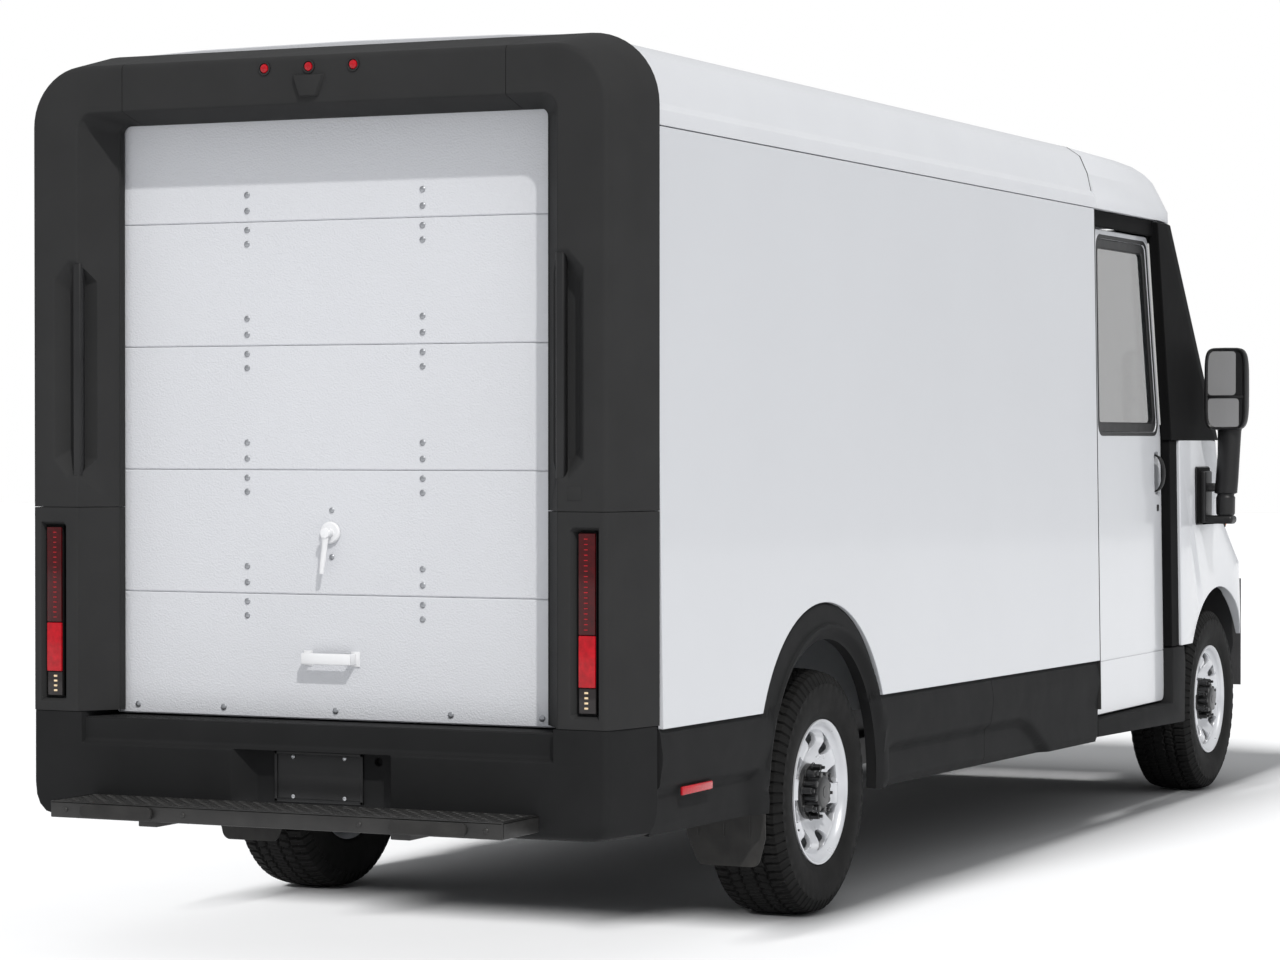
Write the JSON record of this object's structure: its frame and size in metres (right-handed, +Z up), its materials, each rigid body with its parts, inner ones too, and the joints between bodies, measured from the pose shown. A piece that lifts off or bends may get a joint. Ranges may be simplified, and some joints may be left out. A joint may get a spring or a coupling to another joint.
{
  "type": "mail delivery truck",
  "caption": "Electric walk-in delivery truck: white cargo box with grey claddings, roll-up rear door and step, sliding cab doors and opening bulkhead, on steel wheels.",
  "frame": {"origin": "centre of the bounding box at ground level", "axes": "+Z up; the front faces -Y, so the kerb (right) side is -X"},
  "size_m": [2.524, 7.3, 2.7849],
  "materials": {
    "chassis_steel": "satin black",
    "battery_case": "matte",
    "floor_board": "wear coating on plywood",
    "cab_floor_sheet": "textured",
    "white_panel": "gloss white",
    "white_paint": "gloss white",
    "grey_cladding": "fine texture",
    "step_steel": "satin black",
    "black_rubber": "matte",
    "red_lens": "gloss",
    "marker_lens": "gloss",
    "lamp_lens": "clear",
    "black_plastic": "satin",
    "black_trim": "satin",
    "track_steel": "galvanised",
    "tinted_glass": "tinted",
    "cabin_plastic": "fine grain",
    "pedal_steel": "satin",
    "bulkhead_alloy": "satin",
    "seat_fabric": "woven",
    "door_panel": "pebbled white skin on a plywood core",
    "door_hardware": "white paint",
    "tyre": "matte",
    "rim_steel": "silver paint"
  },
  "bodies": {
    "truck": {"chassis_frame": "chassis_steel", "battery_pack": "battery_case", "cargo_floor": "floor_board", "side_panel_right": "white_panel", "side_panel_left": "white_panel", "roof_panel": "white_panel", "roof_cap": "white_paint", "rear_header": "grey_cladding", "rear_pillars": "grey_cladding", "rear_bumper": "grey_cladding", "rear_step": "step_steel", "dock_bumpers": "black_rubber", "tail_lights": "red_lens", "marker_lights": "marker_lens", "grab_bars": "black_plastic", "door_tracks": "track_steel", "sill_claddings": "grey_cladding", "mud_flaps": "black_rubber", "cab_floor": "cab_floor_sheet", "cab_frame": "black_trim", "front_body": "white_paint", "front_bumper": "grey_cladding", "windscreen": "tinted_glass", "head_lamps": "lamp_lens", "dashboard": "cabin_plastic", "bulkhead": "bulkhead_alloy", "rear_axle": "chassis_steel", "plate_holder": "black_plastic"},
    "hood": {"hood": "white_paint"},
    "cab_door_right": {"cab_door_right": "white_paint", "door_glass_right": "tinted_glass"},
    "cab_door_left": {"cab_door_left": "white_paint", "door_glass_left": "tinted_glass"},
    "handle_right": {"door_handle_right": "black_plastic"},
    "handle_left": {"door_handle_left": "black_plastic"},
    "mirror_right": {"mirror_right": "black_plastic"},
    "mirror_left": {"mirror_left": "black_plastic"},
    "knuckle_right": {"knuckle_right": "chassis_steel"},
    "knuckle_left": {"knuckle_left": "chassis_steel"},
    "wheel_front_right": {"tyre_front_right": "tyre", "rim_front_right": "rim_steel"},
    "wheel_front_left": {"tyre_front_left": "tyre", "rim_front_left": "rim_steel"},
    "wheel_rear_right": {"tyre_rear_right": "tyre", "rim_rear_right": "rim_steel"},
    "wheel_rear_left": {"tyre_rear_left": "tyre", "rim_rear_left": "rim_steel"},
    "steering_wheel": {"steering_wheel": "cabin_plastic"},
    "brake_pedal": {"brake_pedal": "pedal_steel"},
    "accelerator_pedal": {"accelerator_pedal": "pedal_steel"},
    "seat": {"seat_base": "pedal_steel", "seat_cushion": "seat_fabric"},
    "seat_back": {"seat_back": "seat_fabric"},
    "bulkhead_door": {"bulkhead_door": "bulkhead_alloy"},
    "wiper": {"wiper": "black_plastic"},
    "rear_door": {"lower_door_sections": "door_panel", "door_hardware": "door_hardware"},
    "rear_door_4": {"door_section_4": "door_panel"},
    "rear_door_5": {"door_section_5": "door_panel"},
    "latch": {"latch_handle": "door_hardware"}
  },
  "joints": [
    {"name": "rear_door_lift", "type": "slide", "parent": "truck", "child": "rear_door", "axis": [0, 0, 1], "range_m": [0, 0.44]},
    {"name": "rear_door_fold_4", "type": "hinge", "parent": "rear_door", "child": "rear_door_4", "pos_m": [0, 3.22, 1.852], "axis": [1, 0, 0], "range_deg": [0, 45]},
    {"name": "rear_door_fold_5", "type": "hinge", "parent": "rear_door_4", "child": "rear_door_5", "pos_m": [0, 3.22, 2.232], "axis": [1, 0, 0], "range_deg": [0, 45]},
    {"name": "latch_turn", "type": "hinge", "parent": "rear_door", "child": "latch", "pos_m": [0.01, 3.25, 1.282], "axis": [0, 1, 0], "range_deg": [0, 90]},
    {"name": "cab_door_right_slide", "type": "slide", "parent": "truck", "child": "cab_door_right", "axis": [0, 1, 0], "range_m": [0, 0.86]},
    {"name": "cab_door_left_slide", "type": "slide", "parent": "truck", "child": "cab_door_left", "axis": [0, 1, 0], "range_m": [0, 0.86]},
    {"name": "handle_right_pull", "type": "hinge", "parent": "cab_door_right", "child": "handle_right", "pos_m": [-0.984, -2.093, 1.42], "axis": [0, 0, 1], "range_deg": [0, 15], "stiffness_Nm_per_rad": 2},
    {"name": "handle_left_pull", "type": "hinge", "parent": "cab_door_left", "child": "handle_left", "pos_m": [0.984, -2.093, 1.42], "axis": [0, 0, -1], "range_deg": [0, 15], "stiffness_Nm_per_rad": 2},
    {"name": "mirror_right_fold", "type": "hinge", "parent": "truck", "child": "mirror_right", "pos_m": [-1.155, -2.6, 1.4], "axis": [0, 0, -1], "range_deg": [0, 70]},
    {"name": "mirror_left_fold", "type": "hinge", "parent": "truck", "child": "mirror_left", "pos_m": [1.155, -2.6, 1.4], "axis": [0, 0, 1], "range_deg": [0, 70]},
    {"name": "steer_right", "type": "hinge", "parent": "truck", "child": "knuckle_right", "pos_m": [-0.69, -2.872, 0.405], "axis": [0, 0, 1], "range_deg": [-30, 30]},
    {"name": "steer_left", "type": "hinge", "parent": "truck", "child": "knuckle_left", "pos_m": [0.69, -2.872, 0.405], "axis": [0, 0, 1], "range_deg": [-30, 30]},
    {"name": "steering_wheel_turn", "type": "hinge", "parent": "truck", "child": "steering_wheel", "pos_m": [0.45, -2.58243, 1.21206], "axis": [0, 0.8829, 0.4695], "range_deg": [-450, 450]},
    {"name": "wheel_front_right_spin", "type": "hinge", "parent": "knuckle_right", "child": "wheel_front_right", "pos_m": [-0.882, -2.872, 0.405], "axis": [1, 0, 0], "continuous": true},
    {"name": "wheel_front_left_spin", "type": "hinge", "parent": "knuckle_left", "child": "wheel_front_left", "pos_m": [0.882, -2.872, 0.405], "axis": [1, 0, 0], "continuous": true},
    {"name": "wheel_rear_right_spin", "type": "hinge", "parent": "truck", "child": "wheel_rear_right", "pos_m": [-0.882, 1.79, 0.405], "axis": [1, 0, 0], "continuous": true},
    {"name": "wheel_rear_left_spin", "type": "hinge", "parent": "truck", "child": "wheel_rear_left", "pos_m": [0.882, 1.79, 0.405], "axis": [1, 0, 0], "continuous": true},
    {"name": "brake_press", "type": "hinge", "parent": "truck", "child": "brake_pedal", "pos_m": [0.34, -3.006, 0.88], "axis": [-1, 0, 0], "range_deg": [0, 9], "stiffness_Nm_per_rad": 60},
    {"name": "accelerator_press", "type": "hinge", "parent": "truck", "child": "accelerator_pedal", "pos_m": [0.44, -3.006, 0.88], "axis": [-1, 0, 0], "range_deg": [0, 9], "stiffness_Nm_per_rad": 20},
    {"name": "seat_slide", "type": "slide", "parent": "truck", "child": "seat", "axis": [0, 1, 0], "range_m": [-0.08, 0.12]},
    {"name": "seat_recline", "type": "hinge", "parent": "seat", "child": "seat_back", "pos_m": [0.45, -1.635, 0.76], "axis": [-1, 0, 0], "range_deg": [-5, 15]},
    {"name": "bulkhead_door_slide", "type": "slide", "parent": "truck", "child": "bulkhead_door", "axis": [1, 0, 0], "range_m": [0, 0.62]},
    {"name": "hood_lift", "type": "hinge", "parent": "truck", "child": "hood", "pos_m": [0, -3.27611, 1.538], "axis": [-1, 0, 0], "range_deg": [0, 50]},
    {"name": "wiper_sweep", "type": "hinge", "parent": "truck", "child": "wiper", "pos_m": [0.3, -3.2334, 1.60755], "axis": [0, 0.7924, -0.61], "range_deg": [0, 100]}
  ],
  "couplings": [
    {"joint": "rear_door_fold_4", "follows": "rear_door_lift", "rad_per_m": 1.7771},
    {"joint": "rear_door_fold_5", "follows": "rear_door_lift", "rad_per_m": 1.7771},
    {"joint": "steer_left", "follows": "steer_right", "ratio": 1},
    {"joint": "steering_wheel_turn", "follows": "steer_right", "ratio": 15}
  ]
}
